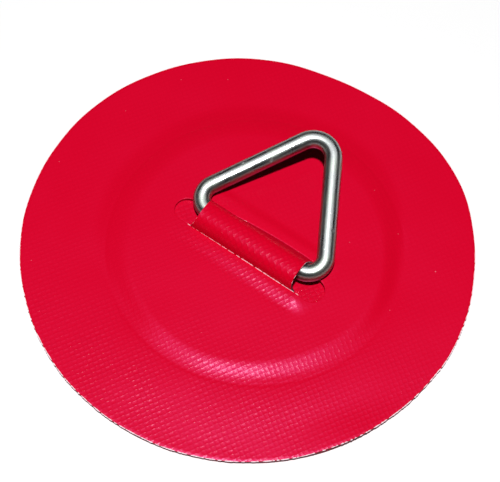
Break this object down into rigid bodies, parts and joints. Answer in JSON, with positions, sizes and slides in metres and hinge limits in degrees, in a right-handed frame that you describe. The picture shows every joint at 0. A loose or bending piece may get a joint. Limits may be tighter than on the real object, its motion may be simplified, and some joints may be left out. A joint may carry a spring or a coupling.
{
  "type": "pad eye",
  "caption": "Round coated-fabric patch with a triangular wire ring held in a fabric loop, bonded to an inflatable boat to make a lashing point.",
  "frame": {"origin": "centre of the base disc's underside, the face that is bonded to the boat", "axes": "+Z out of the bonded face; X along the ring's straight bar; +Y towards the side that the ring lies over on at rest"},
  "size_m": [0.125, 0.125, 0.0151],
  "materials": {
    "base_fabric": "matt coated fabric, red, bonding face",
    "reinforcing_fabric": "semi-gloss coated fabric, red",
    "loop_fabric": "semi-gloss coated fabric, red, weave showing through",
    "cover_fabric": "semi-gloss coated fabric, red, weave showing through",
    "stainless_wire": "polished stainless wire"
  },
  "bodies": {
    "patch": {"base_disc": "base_fabric", "reinforcing_disc": "reinforcing_fabric", "loop_strap": "loop_fabric", "cover_disc": "cover_fabric"},
    "ring": {"triangle_ring": "stainless_wire"}
  },
  "joints": [
    {"name": "ring_swing", "type": "hinge", "parent": "patch", "child": "ring", "pos_m": [0.0012, 0.0009, 0.00465], "axis": [1, 0, 0], "range_deg": [0, 153.6]}
  ]
}
